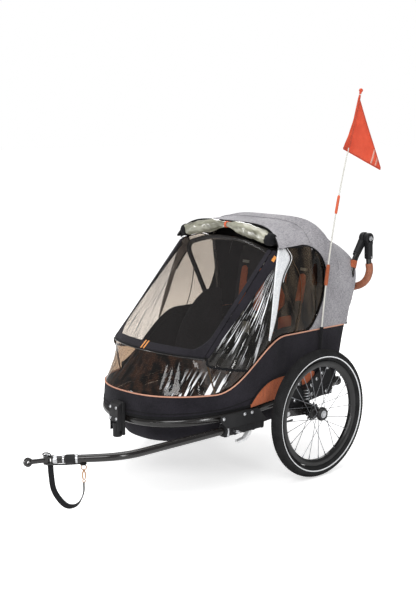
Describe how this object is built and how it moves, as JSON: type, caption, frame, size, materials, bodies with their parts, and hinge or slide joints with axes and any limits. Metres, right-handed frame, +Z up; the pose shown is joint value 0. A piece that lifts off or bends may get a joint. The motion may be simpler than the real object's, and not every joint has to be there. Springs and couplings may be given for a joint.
{
  "type": "child bicycle trailer",
  "caption": "Two-seat child bicycle trailer with a fan-folding hood, sprung wheels, a sliding drawbar with an axle hitch, a push handle and a safety flag.",
  "frame": {"origin": "on the ground, under the middle of the whole trailer's bounding box, drawbar and flag included", "axes": "+Z up, +X to the trailer's left, -Y forward along the direction of travel, so the drawbar points to -Y"},
  "size_m": [0.89, 1.569, 1.4817],
  "materials": {
    "frame_paint": "gloss black powder coat",
    "moulded_plastic": "satin black glass-filled nylon",
    "copper_plastic": "copper-brown moulded plastic",
    "skirt_fabric": "dark navy-black coated polyester",
    "hood_fabric": "grey melange polyester",
    "copper_fabric": "copper-orange padded fabric",
    "seat_fabric": "dark padded seat fabric",
    "mesh_fabric": "open insect mesh",
    "window_vinyl": "smoked clear vinyl",
    "roll_vinyl": "rolled clear rain cover, olive-grey where it is layered",
    "tyre": "matt rubber with a reflective side ring",
    "rim_black": "black anodised",
    "steel": "bright zinc",
    "brass_hook": "worn brass",
    "grip": "copper-brown stitched grip",
    "webbing": "black woven webbing",
    "flag_cloth": "orange-red flag nylon",
    "white_rod": "white glass-fibre rod"
  },
  "bodies": {
    "chassis": {"chassis_frame": "frame_paint", "floor_tray": "moulded_plastic", "lower_skirt": "skirt_fabric", "front_window": "window_vinyl", "seat_base": "seat_fabric", "drawbar_receiver": "moulded_plastic", "front_bracket": "moulded_plastic", "flag_socket": "webbing", "suspension_plate_left": "moulded_plastic", "suspension_plate_right": "moulded_plastic", "arm_pivot_bolt_left": "steel", "arm_pivot_bolt_right": "steel", "coil_spring_left": "steel", "coil_spring_right": "steel"},
    "rear_hoop": {"rear_hoop": "frame_paint"},
    "roof_bow": {"roof_bow": "frame_paint", "canopy": "hood_fabric", "side_window_left": "window_vinyl", "side_window_right": "window_vinyl"},
    "front_hoop": {"front_hoop": "frame_paint", "rain_roll": "roll_vinyl", "front_mesh": "mesh_fabric"},
    "seat_back": {"seat_back": "seat_fabric", "harness_left": "copper_fabric", "harness_right": "copper_fabric"},
    "handlebar": {"handle_bar": "frame_paint", "handle_grip": "grip", "handle_knuckle_left": "moulded_plastic", "handle_knuckle_right": "moulded_plastic"},
    "drawbar": {"drawbar_tube": "frame_paint", "safety_strap": "webbing", "snap_hook": "brass_hook"},
    "lock_pin": {"lock_pin": "steel"},
    "release_lever": {"release_lever": "steel"},
    "hitch_swivel": {"hitch_swivel": "frame_paint"},
    "axle_link": {"axle_link": "frame_paint"},
    "hitch_pin": {"hitch_pin": "steel"},
    "flag_lower": {"flag_pole_lower": "white_rod", "flag_ferrule": "flag_cloth"},
    "flag_upper": {"flag_pole_upper": "white_rod"},
    "flag_pennant": {"flag_pennant": "flag_cloth"},
    "brake_pedal": {"brake_pedal": "copper_plastic"},
    "arm_left": {"swing_arm_left": "frame_paint"},
    "wheel_left": {"tyre_left": "tyre", "rim_left": "rim_black", "hub_left": "rim_black", "brake_ring_left": "rim_black", "axle_shaft_left": "steel"},
    "axle_button_left": {"axle_button_left": "steel"},
    "brake_pin_left": {"brake_pin_left": "steel"},
    "knuckle_button_left": {"knuckle_button_left": "steel"},
    "arm_right": {"swing_arm_right": "frame_paint"},
    "wheel_right": {"tyre_right": "tyre", "rim_right": "rim_black", "hub_right": "rim_black", "brake_ring_right": "rim_black", "axle_shaft_right": "steel"},
    "axle_button_right": {"axle_button_right": "steel"},
    "brake_pin_right": {"brake_pin_right": "steel"},
    "knuckle_button_right": {"knuckle_button_right": "steel"}
  },
  "joints": [
    {"name": "back_fold", "type": "hinge", "parent": "chassis", "child": "rear_hoop", "pos_m": [0, 0.5075, 0.36], "axis": [1, 0, 0], "range_deg": [0, 95], "deforming": ["canopy", "side_window_left", "side_window_right", "front_mesh", "front_window"]},
    {"name": "roof_bow_fold", "type": "hinge", "parent": "chassis", "child": "roof_bow", "pos_m": [0, 0.5075, 0.36], "axis": [1, 0, 0], "range_deg": [0, 70.5]},
    {"name": "front_hoop_fold", "type": "hinge", "parent": "chassis", "child": "front_hoop", "pos_m": [0, 0.5075, 0.36], "axis": [1, 0, 0], "range_deg": [0, 57]},
    {"name": "seat_back_fold", "type": "hinge", "parent": "chassis", "child": "seat_back", "pos_m": [0, 0.4695, 0.41], "axis": [1, 0, 0], "range_deg": [0, 101]},
    {"name": "handlebar_pivot", "type": "hinge", "parent": "rear_hoop", "child": "handlebar", "pos_m": [0, 0.7455, 0.887], "axis": [1, 0, 0], "range_deg": [0, 150]},
    {"name": "drawbar_slide", "type": "slide", "parent": "chassis", "child": "drawbar", "axis": [0, -1, 0], "range_m": [0, 0.14]},
    {"name": "lock_pin_pull", "type": "slide", "parent": "chassis", "child": "lock_pin", "axis": [1, 0, 0], "range_m": [0, 0.05]},
    {"name": "release_lever_pull", "type": "hinge", "parent": "chassis", "child": "release_lever", "pos_m": [0.305, 0.0825, 0.208], "axis": [1, 0, 0], "range_deg": [0, 25]},
    {"name": "hitch_swivel_turn", "type": "hinge", "parent": "drawbar", "child": "hitch_swivel", "pos_m": [0.171, -0.6655, 0.227], "axis": [-0.6583, -0.7517, -0.0393], "range_deg": [-90, 90]},
    {"name": "axle_link_turn", "type": "hinge", "parent": "hitch_swivel", "child": "axle_link", "pos_m": [0.13018, -0.7121, 0.22456], "axis": [0, 0, 1], "range_deg": [-60, 60]},
    {"name": "hitch_pin_pull", "type": "slide", "parent": "hitch_swivel", "child": "hitch_pin", "axis": [0, 0, 1], "range_m": [0, 0.04]},
    {"name": "flag_pole_lift", "type": "slide", "parent": "chassis", "child": "flag_lower", "axis": [0, 0.1141, 0.9935], "range_m": [0, 0.1]},
    {"name": "flag_pole_split", "type": "slide", "parent": "flag_lower", "child": "flag_upper", "axis": [0, 0.231, 0.9729], "range_m": [0, 0.06]},
    {"name": "flag_pennant_turn", "type": "hinge", "parent": "flag_upper", "child": "flag_pennant", "pos_m": [0.338, 0.6505, 1.475], "axis": [0, 0.29, 0.957], "range_deg": [-90, 90]},
    {"name": "brake_pedal_press", "type": "hinge", "parent": "chassis", "child": "brake_pedal", "pos_m": [0, 0.5875, 0.306], "axis": [-1, 0, 0], "range_deg": [0, 25]},
    {"name": "suspension_left", "type": "hinge", "parent": "chassis", "child": "arm_left", "pos_m": [0.36, 0.2195, 0.262], "axis": [1, 0, 0], "range_deg": [-4, 6], "stiffness_Nm_per_rad": 120, "deforming": ["coil_spring_left"]},
    {"name": "wheel_spin_left", "type": "hinge", "parent": "arm_left", "child": "wheel_left", "pos_m": [0.415, 0.3495, 0.25], "axis": [1, 0, 0], "continuous": true},
    {"name": "axle_button_press_left", "type": "slide", "parent": "wheel_left", "child": "axle_button_left", "axis": [-1, 0, 0], "range_m": [0, 0.004]},
    {"name": "brake_pin_slide_left", "type": "slide", "parent": "arm_left", "child": "brake_pin_left", "axis": [1, 0, 0], "range_m": [0, 0.006]},
    {"name": "knuckle_button_press_left", "type": "slide", "parent": "handlebar", "child": "knuckle_button_left", "axis": [-1, 0, 0], "range_m": [0, 0.004]},
    {"name": "suspension_right", "type": "hinge", "parent": "chassis", "child": "arm_right", "pos_m": [-0.36, 0.2195, 0.262], "axis": [1, 0, 0], "range_deg": [-4, 6], "stiffness_Nm_per_rad": 120, "deforming": ["coil_spring_right"]},
    {"name": "wheel_spin_right", "type": "hinge", "parent": "arm_right", "child": "wheel_right", "pos_m": [-0.415, 0.3495, 0.25], "axis": [1, 0, 0], "continuous": true},
    {"name": "axle_button_press_right", "type": "slide", "parent": "wheel_right", "child": "axle_button_right", "axis": [1, 0, 0], "range_m": [0, 0.004]},
    {"name": "brake_pin_slide_right", "type": "slide", "parent": "arm_right", "child": "brake_pin_right", "axis": [-1, 0, 0], "range_m": [0, 0.006]},
    {"name": "knuckle_button_press_right", "type": "slide", "parent": "handlebar", "child": "knuckle_button_right", "axis": [1, 0, 0], "range_m": [0, 0.004]}
  ],
  "couplings": [
    {"joint": "roof_bow_fold", "follows": "back_fold", "ratio": 0.7421},
    {"joint": "front_hoop_fold", "follows": "back_fold", "ratio": 0.6},
    {"joint": "seat_back_fold", "follows": "back_fold", "ratio": 1.0632},
    {"joint": "brake_pin_slide_left", "follows": "brake_pedal_press", "m_per_rad": 0.01261},
    {"joint": "brake_pin_slide_right", "follows": "brake_pedal_press", "m_per_rad": 0.01261}
  ]
}
